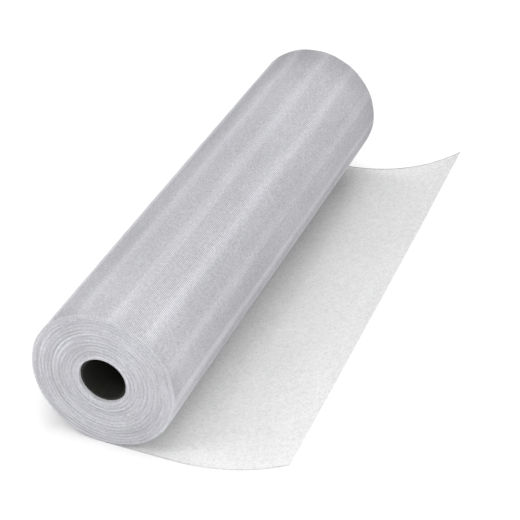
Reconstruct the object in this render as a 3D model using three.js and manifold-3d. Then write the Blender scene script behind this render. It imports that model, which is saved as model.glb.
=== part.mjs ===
// A roll of aluminium insect screen lying on its side, with its free end run out over the floor.
// The woven screen is one continuous piece: the wound turns, whose edges make ridges on the two
// ends of the roll, and the flap that leaves the bottom of the roll, lies flat and curls up.
// It is wound on a thin core tube that stands a little inside the roll at each end.
//
// Millimetres. +X is the way the screen runs out, +Y is along the roll's axis and +Z is up.
// The origin is on the floor, straight below the middle of the roll's axis.

import * as THREE from "three";
import { mergeVertices } from "three/addons/utils/BufferGeometryUtils.js";
import Module from "manifold-3d";

// The screen and the roll wound from it
const SCREEN_WIDTH = 610;
const SCREEN_THICKNESS = 0.56;
const ROLL_DIAMETER = 156;

// The soft flats that winding leaves along the roll, and where one of the crests between them
// lies, in degrees round from the top. They fade out towards the floor.
const SOFT_FLATS = 13;
const SOFT_FLAT_DEPTH = 0.5;
const FIRST_CREST = 10.5;

// The ridges that bundles of turns make on the ends of the roll
const RIDGE_PITCH = 5.4;
const GROOVE_DEPTH = 1.5;

// The core tube, and the play between it and the first turn
const CORE_DIAMETER = 50.8;
const CORE_WALL = 2.5;
const CORE_RECESS = 4;
const CORE_CLEARANCE = 0.3;

// The flap: its length from below the roll's axis to its cut edge, where it leaves the floor
// at each side edge, and the radius that it keeps from having been wound
const FLAP_LENGTH = 206;
const LIFT_OFF_NEAR = 70;
const LIFT_OFF_FAR = 38;
const CURL_RADIUS = 245;

// How finely the round shapes are divided. FACETS is even, so that a flat lies at the bottom.
const FACETS = 64;
const FLAT_STEPS = 2;
const CURL_STEPS = 16;
const WIDTH_STEPS = 6;

const rollRadius = ROLL_DIAMETER / 2;
const coreRadius = CORE_DIAMETER / 2;
const boreRadius = coreRadius + CORE_CLEARANCE;

const wasm = await Module();
wasm.setup();

// Turns a closed profile of (radius, y) points about the Y axis, with its radii measured to the
// middles of the facets and a facet straight down, and lifts it to the axis of the roll.
function turned(profile) {
  const halfFacet = Math.PI / FACETS;
  const corners = profile.map(
    ([radius, y]) => new THREE.Vector2(radius / Math.cos(halfFacet), y),
  );
  const geometry = new THREE.LatheGeometry(
    [...corners, corners[0]],
    FACETS,
    halfFacet,
  );
  return geometry.translate(0, 0, rollRadius);
}

// One end of the roll from the bore outwards, as [radius, distance in from the screen's edge].
// Crests are level with the edge, at the bore and at the outermost turn too.
function ridges() {
  const depth = rollRadius - boreRadius;
  const count = Math.max(1, Math.round(depth / RIDGE_PITCH));
  return Array.from({ length: 2 * count + 1 }, (_, step) => [
    boreRadius + (depth * step) / (2 * count),
    step % 2 ? GROOVE_DEPTH : 0,
  ]);
}

// How far the outermost turn lies inside the true circle, at an angle from the top towards +X
function inward(angle) {
  const round = angle - THREE.MathUtils.degToRad(FIRST_CREST);
  const wave = 0.5 - 0.5 * Math.cos(SOFT_FLATS * round);
  return SOFT_FLAT_DEPTH * wave * Math.cos(angle / 2);
}

// The turns lie closer to the true circle the nearer they are to the core.
function woundTurns() {
  const end = SCREEN_WIDTH / 2;
  const near = ridges().map(([radius, inset]) => [radius, inset - end]);
  const far = ridges().map(([radius, inset]) => [radius, end - inset]);
  const geometry = turned([...near, ...far.reverse()]);
  const position = geometry.getAttribute("position");
  for (let i = 0; i < position.count; i++) {
    const x = position.getX(i);
    const z = position.getZ(i) - rollRadius;
    const radius = Math.hypot(x, z);
    const share = (radius - boreRadius) / (rollRadius - boreRadius);
    const shrink = 1 - (inward(Math.atan2(x, z)) * share) / radius;
    position.setXYZ(i, x * shrink, position.getY(i), rollRadius + z * shrink);
  }
  return geometry;
}

// Where a point of the flap lies: `along` is its distance from below the roll's axis, `across`
// its place over the width and `height` its distance over the face that lies on the floor.
function onFlap(along, across, height, liftOff) {
  if (along <= liftOff) return [along, across, height];
  const angle = (along - liftOff) / CURL_RADIUS;
  const radius = CURL_RADIUS - height;
  return [
    liftOff + radius * Math.sin(angle),
    across,
    CURL_RADIUS - radius * Math.cos(angle),
  ];
}

// The flap is a thin box bent to its curve. Its columns are shared out so that one of them
// follows the line where the flap leaves the floor.
function flap() {
  const columns = FLAT_STEPS + CURL_STEPS;
  const geometry = new THREE.BoxGeometry(
    columns,
    SCREEN_WIDTH,
    SCREEN_THICKNESS,
    columns,
    WIDTH_STEPS,
    1,
  );
  const position = geometry.getAttribute("position");
  for (let i = 0; i < position.count; i++) {
    const column = position.getX(i) + columns / 2;
    const across = position.getY(i);
    const height = position.getZ(i) + SCREEN_THICKNESS / 2;
    const liftOff = THREE.MathUtils.lerp(
      LIFT_OFF_NEAR,
      LIFT_OFF_FAR,
      across / SCREEN_WIDTH + 0.5,
    );
    const along =
      column <= FLAT_STEPS
        ? (liftOff * column) / FLAT_STEPS
        : THREE.MathUtils.mapLinear(
            column,
            FLAT_STEPS,
            columns,
            liftOff,
            FLAP_LENGTH,
          );
    position.setXYZ(i, ...onFlap(along, across, height, liftOff));
  }
  return geometry;
}

function coreTube() {
  const end = SCREEN_WIDTH / 2 - CORE_RECESS;
  const inner = coreRadius - CORE_WALL;
  return turned([
    [inner, -end],
    [coreRadius, -end],
    [coreRadius, end],
    [inner, end],
  ]);
}

function toSolid(geometry) {
  const bare = new THREE.BufferGeometry()
    .setAttribute("position", geometry.getAttribute("position"))
    .setIndex(geometry.index);
  const merged = mergeVertices(bare, 1e-3);
  return new wasm.Manifold(
    new wasm.Mesh({
      numProp: 3,
      vertProperties: merged.getAttribute("position").array,
      triVerts: new Uint32Array(merged.index.array),
    }),
  );
}

function toGeometry(solid) {
  const { vertProperties, triVerts } = solid.getMesh();
  const geometry = new THREE.BufferGeometry()
    .setAttribute("position", new THREE.BufferAttribute(vertProperties, 3))
    .setIndex(new THREE.BufferAttribute(triVerts, 1));
  geometry.computeVertexNormals();
  return geometry;
}

const brightAluminium = new THREE.MeshStandardMaterial({
  color: 0xc9c9ce,
  roughness: 0.45,
  metalness: 0.6,
});
const blackPlastic = new THREE.MeshStandardMaterial({
  color: 0x1d1e1a,
  roughness: 0.6,
  metalness: 0,
});

function named(name, geometry, material) {
  const mesh = new THREE.Mesh(geometry, material);
  mesh.name = name;
  return mesh;
}

const screen = toSolid(woundTurns()).add(toSolid(flap()));

const roll = new THREE.Group();
roll.add(named("insect_screen", toGeometry(screen), brightAluminium));
roll.add(named("core_tube", coreTube(), blackPlastic));

export default roll;
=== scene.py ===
"""The looks of a roll of aluminium insect screen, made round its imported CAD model.

The roll lies on its side and its free end runs out over the floor and curls up. The free end and
the outermost turn are real wires. Below them the wound turns are one solid, whose ends show the
edges of the turns as a spiral of wire.

Everything is in metres. +X is the way the screen runs out, +Y is along the roll's axis, away from
the camera, and +Z is up. The origin is on the floor, straight below the middle of the axis.
"""

import logging
import math
from collections.abc import Sequence
from dataclasses import dataclass
from enum import Enum

import bmesh
import bpy
import numpy as np
from mathutils import Matrix, Vector


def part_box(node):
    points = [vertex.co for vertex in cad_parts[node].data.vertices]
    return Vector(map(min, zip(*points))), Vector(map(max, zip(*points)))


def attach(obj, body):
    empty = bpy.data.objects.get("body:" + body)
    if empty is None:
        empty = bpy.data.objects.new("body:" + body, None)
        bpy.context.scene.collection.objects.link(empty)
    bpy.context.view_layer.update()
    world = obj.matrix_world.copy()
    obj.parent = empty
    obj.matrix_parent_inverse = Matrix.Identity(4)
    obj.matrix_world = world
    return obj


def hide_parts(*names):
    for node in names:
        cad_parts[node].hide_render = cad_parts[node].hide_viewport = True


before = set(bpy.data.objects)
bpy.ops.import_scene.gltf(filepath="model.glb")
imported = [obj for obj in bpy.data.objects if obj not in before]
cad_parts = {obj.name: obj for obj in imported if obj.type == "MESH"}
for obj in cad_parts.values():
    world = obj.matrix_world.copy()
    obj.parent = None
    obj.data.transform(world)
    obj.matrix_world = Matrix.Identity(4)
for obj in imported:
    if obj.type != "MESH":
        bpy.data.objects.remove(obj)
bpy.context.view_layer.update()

log = logging.getLogger("insect_screen")

MM = 0.001
INCH = 0.0254
BODY = "root"
SCREEN_NODE = "insect_screen"
CORE_NODE = "core_tube"
CORE_CLEARANCE = 0.3 * MM


class Slot(Enum):
    """The record's material slots."""

    SCREEN = "screen"
    CORE = "core"


class RollEnd(Enum):
    """The two ends of the roll, as the sign of their Y."""

    NEAR = -1
    FAR = 1


class Graph:
    """A material's nodes, and the one method that adds to them."""

    def __init__(self, name: str) -> None:
        """Makes an empty material.

        Args:
            name: The material's name.
        """
        self.material = bpy.data.materials.new(name)
        self.material.use_nodes = True
        self.tree = self.material.node_tree
        self.tree.nodes.clear()

    def node(
        self,
        kind: str,
        settings: dict[str, object] | None = None,
        sockets: dict[str | int, object] | None = None,
    ) -> bpy.types.Node:
        """Adds one node.

        Args:
            kind: The node's type, such as ShaderNodeMath.
            settings: Its properties, set before its sockets.
            sockets: What its inputs hold, by name or number: plain values, or Values to link.

        Returns:
            The new node.
        """
        made = self.tree.nodes.new(kind)
        for key, value in (settings or {}).items():
            setattr(made, key, value)
        for key, value in (sockets or {}).items():
            if isinstance(value, Value):
                self.tree.links.new(value.socket, made.inputs[key])
            else:
                made.inputs[key].default_value = value
        return made

    def place(self) -> tuple["Value", "Value", "Value"]:
        """Finds out where the point lies.

        Returns:
            Its X, Y and Z on the object.
        """
        where = self.node("ShaderNodeTexCoord")
        split = self.node(
            "ShaderNodeSeparateXYZ", sockets={0: Value(self, where.outputs["Object"])}
        )
        return tuple(Value(self, split.outputs[i]) for i in range(3))

    def noise(
        self, where: Sequence["Value"], scale: float, detail: float = 2.0
    ) -> "Value":
        """Adds noise.

        Args:
            where: The X, Y and Z that it is read at.
            scale: How fine it is.
            detail: How many finer layers it has.

        Returns:
            The noise, from 0 to 1.
        """
        joined = self.node("ShaderNodeCombineXYZ", sockets=dict(enumerate(where)))
        made = self.node(
            "ShaderNodeTexNoise",
            {"noise_dimensions": "3D"},
            {
                "Vector": Value(self, joined.outputs[0]),
                "Scale": scale,
                "Detail": detail,
            },
        )
        return Value(self, made.outputs["Fac"])

    def tinted(self, colour: Sequence[float], level: "Value") -> "Value":
        """Makes a plain colour lighter or darker over the surface.

        Args:
            colour: Its red, green and blue.
            level: What they are multiplied by.

        Returns:
            The colour.
        """
        scaled = self.node(
            "ShaderNodeVectorMath",
            {"operation": "SCALE"},
            {0: tuple(colour), "Scale": level},
        )
        return Value(self, scaled.outputs[0])

    def bump(self, height: "Value", distance: float, strength: float) -> "Value":
        """Adds a bump.

        Args:
            height: The surface's height, from 0 to 1.
            distance: The depth in metres that it stands for.
            strength: How much of it shows.

        Returns:
            The normal.
        """
        made = self.node(
            "ShaderNodeBump",
            sockets={"Height": height, "Distance": distance, "Strength": strength},
        )
        return Value(self, made.outputs["Normal"])

    def finish(self, **sockets: object) -> bpy.types.Material:
        """Ends the material in a Principled shader.

        Args:
            **sockets: The shader's inputs, with _ for each space in their names.

        Returns:
            The material.
        """
        shader = self.node(
            "ShaderNodeBsdfPrincipled",
            sockets={key.replace("_", " "): value for key, value in sockets.items()},
        )
        self.node(
            "ShaderNodeOutputMaterial",
            sockets={"Surface": Value(self, shader.outputs["BSDF"])},
        )
        return self.material


class Value:
    """A shader socket on which Python's arithmetic builds Math nodes."""

    def __init__(self, graph: Graph, socket: bpy.types.NodeSocket) -> None:
        """Wraps a socket of that graph."""
        self.graph = graph
        self.socket = socket

    def math(self, operation: str, *others: object, clamp: bool = False) -> "Value":
        """Adds a Math node.

        Args:
            operation: The node's operation.
            *others: Its further inputs.
            clamp: Whether the result is held between 0 and 1.

        Returns:
            The node's result.
        """
        made = self.graph.node(
            "ShaderNodeMath",
            {"operation": operation, "use_clamp": clamp},
            dict(enumerate((self, *others))),
        )
        return Value(self.graph, made.outputs[0])

    def __add__(self, other: object) -> "Value":
        """Returns self + other."""
        return self.math("ADD", other)

    def __sub__(self, other: object) -> "Value":
        """Returns self - other."""
        return self.math("SUBTRACT", other)

    def __rsub__(self, other: float) -> "Value":
        """Returns other - self."""
        return (self * -1.0) + other

    def __mul__(self, other: object) -> "Value":
        """Returns self * other."""
        return self.math("MULTIPLY", other)

    def __pow__(self, other: float) -> "Value":
        """Returns self ** other."""
        return self.math("POWER", other)

    __radd__ = __add__
    __rmul__ = __mul__

    def wave(self) -> "Value":
        """Returns a wave from 0 to 1 that peaks where self is a whole turn in radians."""
        return self.math("COSINE") * 0.5 + 0.5


@dataclass(frozen=True)
class Weave:
    """The woven screen: its wires, and how closely they are set."""

    warp_pitch: float = INCH / 18
    weft_pitch: float = INCH / 16
    wire: float = 0.28 * MM
    wire_sides: int = 3
    edge_wires: int = 3
    edge_pitch: float = 0.42 * MM

    @property
    def thickness(self) -> float:
        """How thick the screen is where two wires cross."""
        return 2 * self.wire

    @property
    def corner_radius(self) -> float:
        """The radius to the corners of a wire's section whose side is the wire's width."""
        return self.wire / (2 * math.sin(math.pi / self.wire_sides))

    def section(
        self, shape: bmesh.types.BMesh, place: Matrix, capped: bool = False
    ) -> list[bmesh.types.BMVert]:
        """Adds the cross-section of a wire to a bmesh.

        Args:
            shape: The bmesh.
            place: Where the section stands, and which way it faces.
            capped: Whether it is a face, and not only an outline.

        Returns:
            The section's vertices.
        """
        return bmesh.ops.create_circle(
            shape,
            cap_ends=capped,
            segments=self.wire_sides,
            radius=self.corner_radius,
            matrix=place,
        )["verts"]

    def draw(self, stations: Sequence[Vector], along: Vector) -> bpy.types.Mesh:
        """Draws one wire through its stations, with a corner of its section up.

        Args:
            stations: The points that its middle passes through.
            along: The level axis that its sections stand square to.

        Returns:
            A closed mesh.
        """
        shape = bmesh.new()
        up = Vector((0, 0, 1))
        turn = Matrix((up.cross(along), up, along)).transposed().to_4x4()
        ring = self.section(shape, Matrix.Translation(stations[0]) @ turn, capped=True)
        for start, end in zip(stations, stations[1:]):
            edges = [e for e in shape.edges if all(v in ring for v in e.verts)]
            made = bmesh.ops.extrude_edge_only(shape, edges=edges)["geom"]
            ring = [part for part in made if isinstance(part, bmesh.types.BMVert)]
            bmesh.ops.translate(shape, verts=ring, vec=end - start)
        bmesh.ops.contextual_create(shape, geom=ring)
        bmesh.ops.recalc_face_normals(shape, faces=shape.faces[:])
        return mesh_of(shape, "wire")


@dataclass(frozen=True)
class RollForm:
    """The wound roll: its sizes from the frame, and how it departs from a true cylinder."""

    radius: float
    half_width: float
    bore: float
    turn_pitch: float
    flats: int = 13
    flat_depth: float = 0.5 * MM
    first_crest: float = math.radians(10.5)
    ring_pitch: float = 3.7 * MM
    groove_depth: float = 1.2 * MM

    @property
    def turns(self) -> int:
        """How many turns the roll has."""
        return round((self.radius - self.bore) / self.turn_pitch)

    def inward(self, angle: np.ndarray, y: np.ndarray) -> np.ndarray:
        """Works out how far the outermost turn lies inside the true cylinder.

        Args:
            angle: Round the axis from the top, towards +X, in radians.
            y: Along the axis.

        Returns:
            The distance at each point, which is 0 along the bottom.
        """
        # The flats wander a little round the roll on their way from end to end.
        drift = 0.25 * np.sin(5.1 * y + 1.3) + 0.15 * np.sin(14.0 * y + 4 * angle)
        flat = 0.5 - 0.5 * np.cos(self.flats * (angle - self.first_crest) + drift)
        return self.flat_depth * flat * np.cos(angle / 2)

    def end_inset(self, radius: np.ndarray, angle: np.ndarray) -> np.ndarray:
        """Works out how far the edges of the turns lie inside the screen's width.

        Args:
            radius: From the axis.
            angle: Round the axis, in radians.

        Returns:
            The distance at each point, which is 0 at the bore and at the outermost turn.
        """
        depth = self.radius - self.bore
        rings = max(1, round(depth / self.ring_pitch))
        share = np.clip((radius - self.bore) / depth, 0, 1)
        # The rings aren't quite true circles, and some are pressed in deeper than others.
        sway = 0.3 * np.sin(angle + 7 * share) + 0.2 * np.sin(2 * angle - 11 * share)
        phase = rings * share + sway * np.sin(math.pi * share) ** 0.5
        crest = (0.5 + 0.5 * np.cos(2 * math.pi * phase)) ** 1.6
        uneven = 0.7 + 0.3 * np.sin(17 * share + 2 * np.sin(angle + 9 * share))
        return self.groove_depth * (1 - crest) * uneven

    def settle(self, mesh: bpy.types.Mesh) -> None:
        """Moves a mesh in from the true cylinder, as far as the roll's flats say.

        Args:
            mesh: A mesh made round the axis of the true cylinder. It is changed.
        """
        places = places_of(mesh)
        x, z = places[:, 0], places[:, 2] - self.radius
        radius = np.hypot(x, z)
        share = (radius - self.bore) / (self.radius - self.bore)
        shrink = 1 - self.inward(np.arctan2(x, z), places[:, 1]) * share / radius
        places[:, 0] = x * shrink
        places[:, 2] = z * shrink + self.radius
        set_places(mesh, places)


@dataclass(frozen=True)
class FlapForm:
    """How the free end lies: flat on the floor, then curled up on one radius."""

    half_width: float
    length: float = 206 * MM
    lift_off_near: float = 70 * MM
    lift_off_far: float = 38 * MM
    curl_radius: float = 245 * MM

    def lay(self, mesh: bpy.types.Mesh) -> None:
        """Bends a flat mesh to the free end's curve.

        Args:
            mesh: A mesh whose X is the distance along the screen from below the roll's axis,
                Y the place over its width and Z the height over its lower face. It is changed.
        """
        places = places_of(mesh)
        along, across, height = places.T.copy()
        share = across / (2 * self.half_width) + 0.5
        lift_off = (
            self.lift_off_near + (self.lift_off_far - self.lift_off_near) * share
        )
        angle = np.maximum(along - lift_off, 0) / self.curl_radius
        radius = self.curl_radius - height
        places[:, 0] = np.minimum(along, lift_off) + radius * np.sin(angle)
        places[:, 2] = self.curl_radius - radius * np.cos(angle)
        set_places(mesh, places)


def places_of(mesh: bpy.types.Mesh) -> np.ndarray:
    """Reads where a mesh's vertices are.

    Args:
        mesh: The mesh.

    Returns:
        A row of X, Y and Z for each vertex.
    """
    places = np.empty(len(mesh.vertices) * 3, np.float32)
    mesh.vertices.foreach_get("co", places)
    return places.reshape(-1, 3).astype(float)


def set_places(mesh: bpy.types.Mesh, places: np.ndarray) -> None:
    """Puts a mesh's vertices where the rows of an array say."""
    mesh.vertices.foreach_set("co", places.astype(np.float32).ravel())
    mesh.update()


def scatter(count: int, seed: int) -> np.ndarray:
    """Returns numbers from -1 to 1, the same in each run, for that seed."""
    return np.random.default_rng(seed).uniform(-1, 1, count)


def mesh_of(shape: bmesh.types.BMesh, name: str) -> bpy.types.Mesh:
    """Turns a bmesh into a mesh.

    Args:
        shape: The bmesh, which is freed.
        name: The mesh's name.

    Returns:
        The mesh.
    """
    mesh = bpy.data.meshes.new(name)
    shape.to_mesh(mesh)
    shape.free()
    return mesh


def add_to(shape: bmesh.types.BMesh, mesh: bpy.types.Mesh) -> None:
    """Adds a mesh to a bmesh and removes it."""
    shape.from_mesh(mesh)
    bpy.data.meshes.remove(mesh)


def ring_section(
    inner: float,
    outer: float,
    half_length: float,
    axis_height: float,
    columns: int = 1,
    rows: int = 1,
) -> bmesh.types.BMesh:
    """Draws the outline of a thick ring's section, level with the roll's axis.

    Args:
        inner: The ring's inner radius.
        outer: Its outer radius.
        half_length: Half its length along the axis.
        axis_height: How high the axis is.
        columns: How many edges each end has.
        rows: How many edges each side has.

    Returns:
        A bmesh of the outline.
    """
    shape = bmesh.new()
    bmesh.ops.create_grid(shape, x_segments=columns, y_segments=rows, size=0.5)
    inside = [v for v in shape.verts if not v.is_boundary]
    bmesh.ops.delete(shape, geom=inside, context="VERTS")
    bmesh.ops.delete(shape, geom=shape.faces[:], context="FACES_ONLY")
    size = Matrix.Diagonal((outer - inner, 2 * half_length, 1, 1))
    place = Matrix.Translation(((inner + outer) / 2, 0, axis_height))
    bmesh.ops.transform(shape, matrix=place @ size, verts=shape.verts[:])
    return shape


def turn_round(shape: bmesh.types.BMesh, axis_height: float, steps: int) -> None:
    """Spins an outline once round the roll's axis and faces the result outwards.

    Args:
        shape: Holds the outline. It is changed.
        axis_height: How high the axis is.
        steps: How many facets the turn has.
    """
    bmesh.ops.spin(
        shape,
        geom=shape.verts[:] + shape.edges[:],
        cent=(0, 0, axis_height),
        axis=(0, 1, 0),
        angle=2 * math.pi,
        steps=steps,
        use_merge=True,
    )
    bmesh.ops.recalc_face_normals(shape, faces=shape.faces[:])


def repeated(
    mesh: bpy.types.Mesh, count: int, step: Vector, joined: bool = False
) -> bpy.types.Mesh:
    """Repeats a mesh in a straight row.

    Args:
        mesh: The mesh, which is used up.
        count: How many copies the row has.
        step: From one copy to the next.
        joined: Whether the points at which two copies meet become one.

    Returns:
        A mesh of all the copies.
    """
    holder = bpy.data.objects.new("row", mesh)
    bpy.context.scene.collection.objects.link(holder)
    row = holder.modifiers.new("row", "ARRAY")
    row.count = count
    row.use_relative_offset = False
    row.use_constant_offset = True
    row.constant_offset_displace = step
    row.use_merge_vertices = joined
    row.merge_threshold = 0.01 * MM
    seen = holder.evaluated_get(bpy.context.evaluated_depsgraph_get())
    made = bpy.data.meshes.new_from_object(seen)
    bpy.data.objects.remove(holder)
    bpy.data.meshes.remove(mesh)
    return made


def present(
    name: str,
    mesh: bpy.types.Mesh,
    materials: Sequence[bpy.types.Material],
    replaces: Sequence[str] = (),
) -> bpy.types.Object:
    """Makes a finished piece of the object and reports it.

    Args:
        name: The piece's name.
        mesh: Its mesh, in place.
        materials: What its faces wear, in the order of their material numbers.
        replaces: The CAD nodes that it stands for.

    Returns:
        The piece, riding on the object's one body.
    """
    mesh.name = name
    mesh.materials.clear()
    for material in materials:
        mesh.materials.append(material)
    mesh.shade_smooth()
    piece = bpy.data.objects.new(name, mesh)
    bpy.context.scene.collection.objects.link(piece)
    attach(piece, BODY)
    if replaces:
        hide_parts(*replaces)
    mesh.calc_loop_triangles()
    log.info("%s: %d triangles", name, len(mesh.loop_triangles))
    return piece


@dataclass(frozen=True)
class WireFinish:
    """Bright drawn aluminium wire, with random glints painted into its colour, uneven as on
    crimped wire.
    """

    name: str
    colour: tuple[float, float, float]
    metallic: float = 0.7
    clouds: float = 0.15
    # How strong the painted glints are.
    painted_glints: float = 0.8
    mottle: float = 0.35
    # How much lighter the wire is painted towards the near end and darker towards the far end,
    # per metre along Y: painted light and shade.
    painted_shade_far: float = 0.0

    def level(self, graph: Graph) -> Value:
        """Works out how light the wire is.

        Args:
            graph: The material's nodes.

        Returns:
            Its level at a point, around 1.
        """
        x, y, z = graph.place()
        cloud = graph.noise((x, y * 0.35, z), 28.0, 3.0)
        mottle = graph.noise((x, y, z), 190.0, 1.0)
        # Painted glints: random light specks in the base colour, which also make the wire
        # smoother there.
        painted_glint = graph.noise((x, y, z), 480.0, 1.0)
        level = (cloud - 0.5) * self.clouds + (mottle - 0.5) * self.mottle
        level = level + (painted_glint - 0.5) * self.painted_glints + 1.0
        # Painted light and shade: lighter towards the near end, darker towards the far end.
        return level - y * self.painted_shade_far if self.painted_shade_far else level

    def make(self) -> bpy.types.Material:
        """Builds the material.

        Returns:
            The material.
        """
        graph = Graph(self.name)
        level = self.level(graph)
        return graph.finish(
            Base_Color=graph.tinted(self.colour, level),
            Metallic=self.metallic,
            Roughness=0.66 - level * 0.26,
        )


@dataclass(frozen=True, kw_only=True)
class RolledWireFinish(WireFinish):
    """The same wire on the outermost turn, with highlights painted along the crests between its
    soft flats.
    """

    roll: RollForm
    # How light the painted highlights along the crests are.
    crest_highlights: float = 0.2

    def level(self, graph: Graph) -> Value:
        """Works out how light the wire is.

        Args:
            graph: The material's nodes.

        Returns:
            Its level at a point, around 1.
        """
        x, y, z = graph.place()
        angle = x.math("ARCTAN2", z - self.roll.radius)
        drift = graph.noise((x, y * 0.5, z), 9.0)
        crest = (angle - self.roll.first_crest) * self.roll.flats + drift * 1.6 - 0.8
        # Painted highlights: streaks along the crests of the flats, stronger in some places than
        # in others. The level is lowered by part of them, so that it stays around 1.
        highlight_strength = graph.noise((x, y * 0.15, z), 60.0) * 0.8 + 0.6
        crest_highlight = crest.wave() ** 4.0 * highlight_strength
        return super().level(graph) + crest_highlight * self.crest_highlights - self.crest_highlights * 0.35


@dataclass(frozen=True)
class WoundFinish:
    """The turns seen through the outermost one: woven wire, with painted shade in the gaps
    between its wires.
    """

    roll: RollForm
    weave: Weave
    name: str = "wound_turns"
    wire_colour: tuple[float, float, float] = (0.84, 0.84, 0.875)
    # How light the gaps are painted: painted shade on the turns that lie deeper.
    painted_gap_shade: float = 0.45

    def make(self) -> bpy.types.Material:
        """Builds the material.

        Returns:
            The material.
        """
        graph = Graph(self.name)
        x, y, z = graph.place()
        angle = x.math("ARCTAN2", z - self.roll.radius)
        around = round(2 * math.pi * self.roll.radius / self.weave.weft_pitch)
        warp = (y * (2 * math.pi / self.weave.warp_pitch)).wave() ** 3.0
        weft = (angle * around).wave() ** 3.0
        woven = warp.math("MAXIMUM", weft)
        cloud = graph.noise((x, y * 0.3, z), 30.0, 3.0)
        mottle = graph.noise((x, y, z), 190.0, 1.0)
        # Painted glints, as on the wire of the outermost turn.
        painted_glint = graph.noise((x, y, z), 480.0, 1.0)
        tone_and_painted_glints = cloud * 0.25 + mottle * 0.12 + painted_glint * 0.55 + 0.54
        # The gaps between the wires are painted darker, as shade.
        level = (woven * (1 - self.painted_gap_shade) + self.painted_gap_shade) * tone_and_painted_glints
        return graph.finish(
            Base_Color=graph.tinted(self.wire_colour, level),
            Metallic=0.6,
            Roughness=0.6 - woven * 0.15,
            Normal=graph.bump(woven, self.weave.wire, 0.6),
        )


@dataclass(frozen=True)
class TurnEdgeFinish:
    """The ends of the roll: cut wire in rings, packed closer in some turns than in others."""

    roll: RollForm
    name: str = "turn_edges"
    colour: tuple[float, float, float] = (0.84, 0.84, 0.88)
    metallic: float = 0.7
    bands: float = 0.6
    rings: float = 0.27
    # How much lighter the edges at the bore and at the outermost turn are painted. At the
    # outermost turn this is a painted highlight.
    rims: float = 0.16
    bore_rim: float = 6 * MM
    outer_rim: float = 1.6 * MM
    # How much darker the end is painted, as shade where it lies deeper. It also gives the turns a
    # bump.
    depth: float = 0.0

    def make(self) -> bpy.types.Material:
        """Builds the material.

        Returns:
            The material. If it has a depth, it is painted darker by that much, as shade on ends
            that lie deeper, and the turns also show in its normal.
        """
        graph = Graph(self.name)
        x, y, z = graph.place()
        rise = z - self.roll.radius
        radius = (x * x + rise * rise).math("SQRT")
        band = graph.noise((x * 9.0, radius * 420.0, rise * 9.0), 1.0, 4.0)
        grain = graph.noise((x, y, rise), 560.0)
        sway = graph.noise((x, y, rise), 18.0, 1.0) * 4.0
        turned = (radius - self.roll.bore) * (2 * math.pi / self.roll.ring_pitch)
        ring = (turned + sway).wave() ** 2.0
        from_bore = (radius - self.roll.bore).math("DIVIDE", self.bore_rim, clamp=True)
        near_bore = 1.0 - from_bore
        # Painted highlight along the outer edge of the end, where it catches the light.
        past_rim = radius - self.roll.radius + self.outer_rim
        rim_highlight = past_rim.math("DIVIDE", 1 * MM, clamp=True)
        level = (band - 0.5) * self.bands + (grain - 0.5) * 0.7
        # The rings are painted lighter on their crests and darker between them: painted shade in
        # the grooves that the ends have.
        level = level + (ring - 0.4) * self.rings * (1.0 - near_bore)
        # A depth paints the whole end darker: painted shade.
        level = level + (near_bore + rim_highlight) * self.rims + (0.94 - self.depth)
        sockets = {
            "Base_Color": graph.tinted(self.colour, level),
            "Metallic": self.metallic,
            "Roughness": grain * 0.2 + 0.4,
        }
        if self.depth:
            turns = (radius * (2 * math.pi / self.roll.turn_pitch)).wave()
            relief = turns * 0.5 + grain
            sockets["Normal"] = graph.bump(relief, self.roll.turn_pitch, 0.7)
        return graph.finish(**sockets)


@dataclass(frozen=True)
class TubeFinish:
    """The core tube's black plastic, dull and slightly mottled."""

    name: str = "black_core_plastic"
    colour: tuple[float, float, float] = (0.021, 0.022, 0.018)

    def make(self) -> bpy.types.Material:
        """Builds the material.

        Returns:
            The material.
        """
        graph = Graph(self.name)
        x, y, z = graph.place()
        drawn = graph.noise((x, y * 0.08, z), 260.0, 3.0)
        return graph.finish(
            Base_Color=graph.tinted(self.colour, drawn * 0.8 + 0.6),
            Roughness=drawn * 0.2 + 0.5,
            Normal=graph.bump(drawn, 0.1 * MM, 0.3),
            Specular_IOR_Level=0.2,
        )


@dataclass(frozen=True)
class FloorFinish:
    """The studio's white floor."""

    colour: tuple[float, float, float] = (0.96, 0.96, 0.96)

    def make(self) -> bpy.types.Material:
        """Returns the material."""
        return Graph("studio_floor").finish(
            Base_Color=(*self.colour, 1), Roughness=0.9, Specular_IOR_Level=0.1
        )


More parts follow.
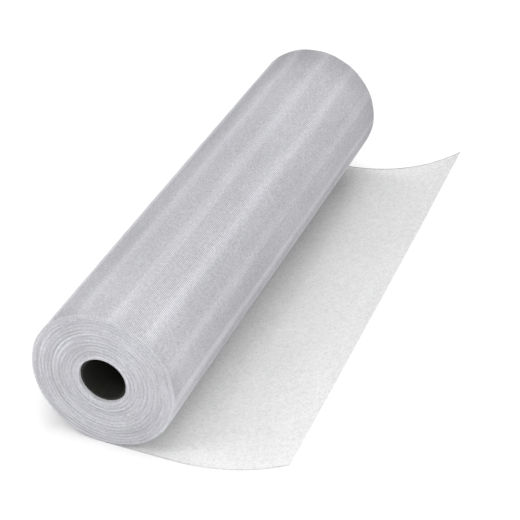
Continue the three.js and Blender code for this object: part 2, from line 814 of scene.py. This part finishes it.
@dataclass
class WoundTurns:
    """All the turns below the outermost one, as one solid with its bore."""

    roll: RollForm
    weave: Weave
    round_steps: int = 96
    side_steps: int = 12
    points_in_ring: int = 6
    play: float = 0.14 * MM
    edge_wire_room: float = 0.4 * MM
    # A darker copy of the edge colour: painted shade on the ends, which lie deeper than the
    # spiral of edge wire.
    shaded_end_colour: tuple[float, float, float] = (0.78, 0.78, 0.82)

    def build(self) -> bpy.types.Object:
        """Builds the solid and dresses it: its side wears one finish and its ends another.

        Returns:
            The piece.
        """
        outer = self.roll.radius - self.weave.thickness - self.play
        inner = self.roll.bore
        end = self.roll.half_width - self.edge_wire_room
        rings = round((outer - inner) / self.roll.ring_pitch * self.points_in_ring)
        axis = self.roll.radius
        shape = ring_section(inner, outer, end, axis, rings, self.side_steps)
        turn_round(shape, axis, self.round_steps)
        shape.normal_update()
        for face in shape.faces:
            face.material_index = int(abs(face.normal.y) > 0.5)
        mesh = mesh_of(shape, "wound_turns")
        self._sink_ends(mesh, end)
        self.roll.settle(mesh)
        side = WoundFinish(self.roll, self.weave).make()
        ends = TurnEdgeFinish(
            self.roll, "turn_edges_below", self.shaded_end_colour, depth=0.25
        ).make()
        return present("wound_turns", mesh, (side, ends), (SCREEN_NODE,))

    def _sink_ends(self, mesh: bpy.types.Mesh, end: float) -> None:
        """Presses the rings between bundles of turns into both ends.

        Args:
            mesh: The turned solid. It is changed.
            end: How far its ends are from the middle.
        """
        places = places_of(mesh)
        x, z = places[:, 0], places[:, 2] - self.roll.radius
        inset = self.roll.end_inset(np.hypot(x, z), np.arctan2(x, z))
        at_end = np.abs(places[:, 1]) > end - 0.01 * MM
        places[:, 1] -= np.sign(places[:, 1]) * inset * at_end
        set_places(mesh, places)


@dataclass
class OutermostTurn:
    """The outermost turn's wires: hoops round the roll that lie on rods along it."""

    roll: RollForm
    weave: Weave
    finish: bpy.types.Material
    round_steps: int = 64
    rod_steps: int = 6
    rod_recess: float = 0.3 * MM

    def build(self) -> None:
        """Builds the hoops and the rods."""
        present("outer_turn_warp", self._hoops(), (self.finish,))
        present("outer_turn_weft", self._rods(), (self.finish,))

    def _hoops(self) -> bpy.types.Mesh:
        """Turns one hoop and repeats it along the roll.

        Returns:
            The wires that run round the roll.
        """
        pitch = self.weave.warp_pitch
        count = int(2 * self.roll.half_width / pitch)
        radius = self.roll.radius - self.weave.wire / 2
        first = Vector((radius, -(count - 1) / 2 * pitch, self.roll.radius))
        shape = bmesh.new()
        self.weave.section(shape, Matrix.Translation(first))
        turn_round(shape, self.roll.radius, self.round_steps)
        mesh = repeated(mesh_of(shape, "hoop"), count, Vector((0, pitch, 0)))
        self.roll.settle(mesh)
        return mesh

    def _rods(self) -> bpy.types.Mesh:
        """Sets straight wires side by side round the roll.

        Returns:
            The wires that run along the roll.
        """
        radius = self.roll.radius - 1.5 * self.weave.wire
        count = round(2 * math.pi * radius / self.weave.weft_pitch)
        end = self.roll.half_width - self.rod_recess
        stations = [
            Vector((0, y, self.roll.radius + radius))
            for y in np.linspace(-end, end, self.rod_steps + 1)
        ]
        shape = bmesh.new()
        add_to(shape, self.weave.draw(stations, Vector((0, 1, 0))))
        bmesh.ops.spin(
            shape,
            geom=shape.verts[:] + shape.edges[:] + shape.faces[:],
            cent=(0, 0, self.roll.radius),
            axis=(0, 1, 0),
            angle=2 * math.pi * (count - 1) / count,
            steps=count - 1,
            use_duplicate=True,
        )
        mesh = mesh_of(shape, "rods")
        self.roll.settle(mesh)
        return mesh


@dataclass
class TurnEdges:
    """The edges of all the turns at one end: an edge wire wound in a spiral."""

    roll: RollForm
    weave: Weave
    end: RollEnd
    finish: bpy.types.Material
    round_steps: int = 72
    unevenness: float = 0.16 * MM
    seed: int = 3

    def build(self) -> bpy.types.Object:
        """Builds the spiral and dresses it."""
        name = f"turn_edges_{self.end.name.lower()}"
        return present(name, self._spiral(), (self.finish,))

    def _helix(self, turns: int) -> bpy.types.Mesh:
        """Winds the wire into a helix round Y whose radius is 1 and whose pitch is 1.

        Args:
            turns: How many turns it has.

        Returns:
            One closed wire.
        """
        shape = bmesh.new()
        self.weave.section(shape, Matrix.Translation((1, 0, 0)))
        bmesh.ops.spin(
            shape,
            geom=shape.verts[:] + shape.edges[:],
            cent=(0, 0, 0),
            axis=(0, 1, 0),
            dvec=(0, 1 / self.round_steps, 0),
            angle=2 * math.pi,
            steps=self.round_steps,
        )
        turn = mesh_of(shape, "turn")
        shape = bmesh.new()
        add_to(shape, repeated(turn, turns, Vector((0, 1, 0)), joined=True))
        bmesh.ops.holes_fill(shape, edges=[e for e in shape.edges if e.is_boundary])
        bmesh.ops.recalc_face_normals(shape, faces=shape.faces[:])
        return mesh_of(shape, "helix")

    def _spiral(self) -> bpy.types.Mesh:
        """Lays the helix down as a spiral, so that its height becomes its radius.

        Returns:
            One closed wire from the bore to the outermost turn.
        """
        turns = self.roll.turns - 2
        mesh = self._helix(turns)
        places = places_of(mesh)
        angle = np.arctan2(places[:, 0], places[:, 2])
        station = np.rint(places[:, 1] * self.round_steps).astype(int)
        along = places[:, 1] - station / self.round_steps
        size = self.weave.corner_radius
        start = self.roll.bore + size
        pitch = (self.roll.radius - 1.5 * self.weave.thickness - start) / turns
        radius = start + pitch * station / self.round_steps
        radius += np.hypot(places[:, 0], places[:, 2]) - 1
        inset = self.roll.end_inset(radius, angle) + size
        jitter = scatter(station.max() + 1, self.seed)[station]
        inset += self.unevenness * (1 + jitter)
        places[:, 0] = radius * np.sin(angle)
        places[:, 1] = self.end.value * (self.roll.half_width - inset) + along
        places[:, 2] = radius * np.cos(angle) + self.roll.radius
        set_places(mesh, places)
        self.roll.settle(mesh)
        return mesh


@dataclass
class FreeEnd:
    """The free end's woven wires, which cross over and under each other.

    The wires along it are the warp, and are cut off at the end. The wires across it are the
    weft, and turn back in loops at the side edges. A few loops are pulled out.
    """

    flap: FlapForm
    weave: Weave
    finish: bpy.types.Material
    edge_finish: bpy.types.Material
    tail: float = 2.2 * MM
    uneven_cut: float = 0.7 * MM
    stray: float = 0.35 * MM
    edge_stations: int = 60
    edge_wires_short: float = 1 * MM
    loop_steps: int = 6
    pulled_loops: tuple[tuple[float, float], ...] = (
        (99 * MM, 2.6 * MM),
        (104 * MM, 3.4 * MM),
        (108 * MM, 2.4 * MM),
        (116 * MM, 3.0 * MM),
    )
    pulled_rise: float = 1.15
    pulled_stretch: float = 2.4

    @property
    def warp_spots(self) -> np.ndarray:
        """Where the warp's wires lie over the width. Their number is even."""
        pitch = self.weave.warp_pitch
        count = 2 * int(self.flap.half_width / pitch)
        return (count - 1) / 2 * pitch - pitch * np.arange(count - 1, -1, -1)

    @property
    def weft_spots(self) -> np.ndarray:
        """Where the weft's wires lie along the free end. Their number is even."""
        last = self.flap.length - self.tail
        pitch = self.weave.weft_pitch
        count = 2 * int(last / pitch / 2)
        return last - pitch * np.arange(count - 1, -1, -1)

    @property
    def loop_radius(self) -> float:
        """The radius of the loops in which the weft turns back at the side edges."""
        return self.weave.weft_pitch / 2

    @property
    def turn_back(self) -> float:
        """How far from the middle of the width the loops start."""
        return self.flap.half_width - self.loop_radius - self.weave.corner_radius

    def build(self) -> None:
        """Builds the warp and the weft, each in two pieces, and the side edges."""
        count = len(self.warp_spots)
        for side, first in (("near", 0), ("far", count // 2)):
            mesh = self._wires(first, count // 2, across=False)
            self._cut_unevenly(mesh, seed=first)
            self._lay(f"flap_warp_{side}", mesh, self.finish)
        count = len(self.weft_spots)
        for part, first in (("inner", 0), ("outer", count // 2)):
            mesh = self._wires(first, count // 2, across=True)
            self._lay(f"flap_weft_{part}", mesh, self.finish)
        self._lay("flap_selvedges", self._selvedges(), self.edge_finish)

    def _lay(
        self, name: str, mesh: bpy.types.Mesh, finish: bpy.types.Material
    ) -> None:
        """Bends a flat mesh to the free end's curve and dresses it."""
        self.flap.lay(mesh)
        present(name, mesh, (finish,))

    def _wires(self, first: int, count: int, across: bool) -> bpy.types.Mesh:
        """Weaves part of the wires that run one way, lying flat.

        Args:
            first: The number of the first wire.
            count: How many wires there are, which is even.
            across: Whether they are the weft.

        Returns:
            A mesh of the wires.
        """
        if across:
            along, beside = Vector((0, 1, 0)), Vector((1, 0, 0))
            spots, crossings = self.weft_spots, self.warp_spots
            ends = (-self.turn_back, self.turn_back)
        else:
            along, beside = Vector((1, 0, 0)), Vector((0, 1, 0))
            spots, crossings = self.warp_spots, self.weft_spots
            ends = (0.0, self.flap.length)
        crimp = self.weave.wire / 2
        pair = bmesh.new()
        for number in (first, first + 1):
            spot = beside * spots[number]
            stations = [along * c + spot for c in (ends[0], *crossings, ends[1])]
            for i, station in enumerate(stations):
                over = (i + number) % 2 == int(across)
                at_end = i in (0, len(stations) - 1)
                bend = 0 if at_end else crimp if over else -crimp
                station.z = self.weave.wire + bend
            add_to(pair, self.weave.draw(stations, along))
        step = beside * float(spots[1] - spots[0]) * 2
        return repeated(mesh_of(pair, "pair"), count // 2, step)

    def _cut_unevenly(self, mesh: bpy.types.Mesh, seed: int) -> None:
        """Shortens and bends the cut ends of wires, each a little differently.

        Args:
            mesh: Part of the warp, lying flat. It is changed.
            seed: Sets the pattern.
        """
        places = places_of(mesh)
        number = np.rint(places[:, 1] / self.weave.warp_pitch * 2).astype(int)
        number -= number.min()
        at_cut = places[:, 0] > self.flap.length - 0.01 * MM
        short, lean, lift = (
            scatter(number.max() + 1, seed + i)[number] for i in range(3)
        )
        places[:, 0] -= at_cut * self.uneven_cut * (1 + short)
        places[:, 1] += at_cut * self.stray * lean
        places[:, 2] += at_cut * self.stray * np.abs(lift)
        set_places(mesh, places)

    def _selvedges(self) -> bpy.types.Mesh:
        """Builds the side edges: close-set wires, the loops round them and loops pulled out.

        Returns:
            A mesh of them all, lying flat.
        """
        shape = bmesh.new()
        for side in RollEnd:
            for number in range(self.weave.edge_wires):
                add_to(shape, self._edge_wire(number, side))
            add_to(shape, self._turn_backs(side))
        reach = self.flap.half_width - self.turn_back - 0.2 * MM
        for spot, width in self.pulled_loops:
            loop = self._loop(width / 2, reach, RollEnd.NEAR)
            loop.transform(
                Matrix.Translation((spot, -self.turn_back, self.weave.wire))
                @ Matrix.Rotation(-self.pulled_rise, 4, "X")
                @ Matrix.Diagonal((1, self.pulled_stretch, 1, 1))
            )
            add_to(shape, loop)
        return mesh_of(shape, "flap_selvedges")

    def _edge_wire(self, number: int, side: RollEnd) -> bpy.types.Mesh:
        """Draws one of the close-set wires along a side edge.

        Args:
            number: Which one, from the outside inwards.
            side: The edge.

        Returns:
            A closed mesh.
        """
        y = self.turn_back - (number - 0.5) * self.weave.edge_pitch
        end = self.flap.length - self.edge_wires_short
        stations = [
            Vector((x, side.value * y, self.weave.wire))
            for x in np.linspace(0, end, self.edge_stations)
        ]
        return self.weave.draw(stations, Vector((1, 0, 0)))

    def _turn_backs(self, side: RollEnd) -> bpy.types.Mesh:
        """Builds the loops that join each second pair of the weft's wires at a side edge.

        Args:
            side: The edge. At the far one they join the pairs that the near one leaves out.

        Returns:
            A mesh of the loops.
        """
        spots = self.weft_spots
        skipped = int(side is RollEnd.FAR)
        loop = self._loop(self.loop_radius, self.loop_radius, side)
        step = Vector((2 * self.weave.weft_pitch, 0, 0))
        row = repeated(loop, len(spots) // 2 - skipped, step)
        middle = spots[skipped] + self.loop_radius
        edge = side.value * self.turn_back
        row.transform(Matrix.Translation((middle, edge, self.weave.wire)))
        return row

    def _loop(self, half_width: float, reach: float, side: RollEnd) -> bpy.types.Mesh:
        """Bends a piece of wire into half a turn that bulges away from the screen.

        Args:
            half_width: Half the distance between its ends, along the edge.
            reach: How far it bulges.
            side: The edge that it is for.

        Returns:
            A closed mesh round the origin.
        """
        shape = bmesh.new()
        start = Matrix.Translation((half_width, 0, 0))
        upright = Matrix.Rotation(math.pi / 2, 4, "X")
        self.weave.section(shape, start @ upright, capped=True)
        bmesh.ops.spin(
            shape,
            geom=shape.verts[:] + shape.edges[:] + shape.faces[:],
            cent=(0, 0, 0),
            axis=(0, 0, 1),
            angle=math.pi * side.value,
            steps=self.loop_steps,
        )
        bmesh.ops.scale(shape, vec=(1, reach / half_width, 1), verts=shape.verts[:])
        bmesh.ops.recalc_face_normals(shape, faces=shape.faces[:])
        return mesh_of(shape, "loop")


@dataclass
class CoreTube:
    """The black tube that the screen is wound on."""

    axis_height: float
    outer: float
    half_length: float
    wall: float = 2.5 * MM
    round_steps: int = 96
    mouth_round: float = 0.6 * MM
    mouth_steps: int = 3

    def build(self) -> bpy.types.Object:
        """Builds the tube with eased mouths and dresses it.

        Returns:
            The piece.
        """
        inner = self.outer - self.wall
        shape = ring_section(inner, self.outer, self.half_length, self.axis_height)
        bmesh.ops.bevel(
            shape,
            geom=shape.verts[:],
            offset=self.mouth_round,
            affect="VERTICES",
            segments=self.mouth_steps,
            profile=0.5,
            material=-1,
        )
        turn_round(shape, self.axis_height, self.round_steps)
        mesh = mesh_of(shape, "core_tube_black")
        finish = TubeFinish().make()
        return present("core_tube_black", mesh, (finish,), (CORE_NODE,))


@dataclass(frozen=True)
class Lamp:
    """A square light that faces the middle of the object. Its power is in watts."""

    name: str
    spot: tuple[float, float, float]
    size: float
    power: float
    aim: tuple[float, float, float] = (0.05, 0.0, 0.05)

    def hang(self) -> None:
        """Hangs the lamp at its spot."""
        lamp = bpy.data.lights.new(self.name, "AREA")
        lamp.size = self.size
        lamp.energy = self.power
        holder = bpy.data.objects.new(self.name, lamp)
        holder.location = self.spot
        sight = Vector(self.aim) - Vector(self.spot)
        holder.rotation_euler = sight.to_track_quat("-Z", "Y").to_euler()
        bpy.context.scene.collection.objects.link(holder)


@dataclass
class Studio:
    """The floor, the lights and the camera."""

    eye: tuple[float, float, float] = (0.6009, -1.4420, 1.0837)
    pitch_down: float = math.radians(33.941)
    heading: float = math.radians(21.055)
    tilt: float = math.radians(1.031)
    lens: float = 114.86
    sensor: float = 36.0
    sight: float = 50.0
    floor_size: float = 12.0
    surroundings: float = 0.6
    lamps: tuple[Lamp, ...] = (
        Lamp("overhead_light", (0.1, 0.3, 3.0), 1.6, 26.0),
        Lamp("front_left_light", (-0.45, -0.85, 0.95), 0.5, 3.4),
        Lamp("front_right_light", (0.55, -1.05, 0.8), 0.5, 3.0),
        Lamp("right_light", (2.9, -0.6, 1.8), 2.2, 28.0),
        Lamp("left_light", (-2.9, 0.2, 2.0), 2.2, 7.0),
        Lamp("back_light", (0.4, 3.3, 2.6), 2.2, 30.0),
    )

    def build(self) -> None:
        """Builds all of the studio."""
        self._floor()
        for lamp in self.lamps:
            lamp.hang()
        self._surround()
        self._camera()

    def _floor(self) -> None:
        """Lays the floor."""
        shape = bmesh.new()
        bmesh.ops.create_grid(
            shape, x_segments=1, y_segments=1, size=self.floor_size / 2
        )
        mesh = mesh_of(shape, "floor")
        mesh.materials.append(FloorFinish().make())
        floor = bpy.data.objects.new("studio_floor", mesh)
        bpy.context.scene.collection.objects.link(floor)

    def _surround(self) -> None:
        """Surrounds the scene with even white light."""
        world = bpy.data.worlds.new("white_studio")
        world.use_nodes = True
        tone_and_painted_glints = world.node_tree.nodes["Background"]
        tone_and_painted_glints.inputs["Color"].default_value = (1, 1, 1, 1)
        tone_and_painted_glints.inputs["Strength"].default_value = self.surroundings
        bpy.context.scene.world = world
        bpy.context.scene.view_settings.view_transform = "Standard"

    def _camera(self) -> None:
        """Sets the camera where the photograph was taken from."""
        lens = bpy.data.cameras.new("camera")
        lens.lens = self.lens
        lens.sensor_width = self.sensor
        lens.clip_end = self.sight
        camera = bpy.data.objects.new("camera", lens)
        turn = (
            Matrix.Rotation(self.heading, 4, "Z")
            @ Matrix.Rotation(math.pi / 2 - self.pitch_down, 4, "X")
            @ Matrix.Rotation(self.tilt, 4, "Z")
        )
        camera.matrix_world = Matrix.Translation(self.eye) @ turn
        bpy.context.scene.collection.objects.link(camera)
        bpy.context.scene.camera = camera


def main() -> None:
    """Builds the studio and the roll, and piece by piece."""
    logging.basicConfig(level=logging.INFO, format="%(message)s")
    Studio().build()

    weave = Weave()
    # The roll is the highest and the widest part of the screen.
    _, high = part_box(SCREEN_NODE)
    _, core_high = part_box(CORE_NODE)
    roll = RollForm(
        radius=high.z / 2,
        half_width=high.y,
        bore=core_high.x + CORE_CLEARANCE,
        turn_pitch=weave.thickness,
    )
    flap = FlapForm(half_width=high.y)
    rolled_wire = RolledWireFinish(
        "rolled_aluminium_wire",
        (0.84, 0.84, 0.87),
        painted_glints=0.55,
        mottle=0.12,
        roll=roll,
    ).make()
    flat_wire = WireFinish("drawn_aluminium_wire", (0.85, 0.85, 0.85)).make()
    # The side edges' wire is painted lighter at the near end and darker at the far end, as
    # painted light and shade.
    edge_wire = WireFinish("selvedge_wire", (0.6, 0.6, 0.6), painted_shade_far=0.9).make()
    edges = TurnEdgeFinish(roll).make()

    WoundTurns(roll, weave).build()
    OutermostTurn(roll, weave, rolled_wire).build()
    for end in RollEnd:
        TurnEdges(roll, weave, end, edges).build()
    FreeEnd(flap, weave, flat_wire, edge_wire).build()
    CoreTube(roll.radius, core_high.x, core_high.y).build()


if __name__ == "__main__":
    main()
